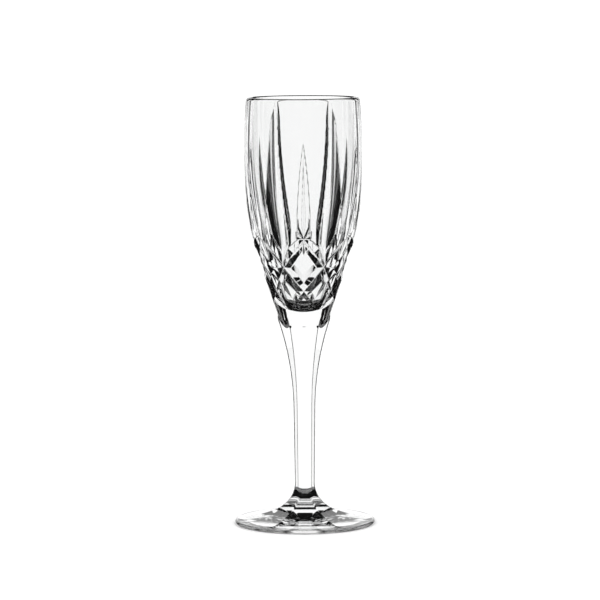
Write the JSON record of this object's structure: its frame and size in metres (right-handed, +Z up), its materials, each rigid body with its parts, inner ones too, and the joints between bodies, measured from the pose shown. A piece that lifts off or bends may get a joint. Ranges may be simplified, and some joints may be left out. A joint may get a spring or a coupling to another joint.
{
  "type": "champagne flute",
  "caption": "Tall stemmed flute in cut crystal: a deep V-cut and latticed bowl, a six-sided stem and a round foot.",
  "frame": {"origin": "centre of the foot's resting plane", "axes": "+Z up the stem to the rim; two of the tall cuts and two corners of the stem lie on the X axis, and a flat of the stem and a short cut face -Y"},
  "size_m": [0.0724, 0.0724, 0.22],
  "materials": {
    "foot_crystal": "fire-polished clear crystal",
    "stem_crystal": "fire-polished clear crystal",
    "bowl_crystal": "cut and polished clear crystal"
  },
  "bodies": {
    "root": {"foot": "foot_crystal", "stem": "stem_crystal", "bowl": "bowl_crystal"}
  },
  "joints": []
}
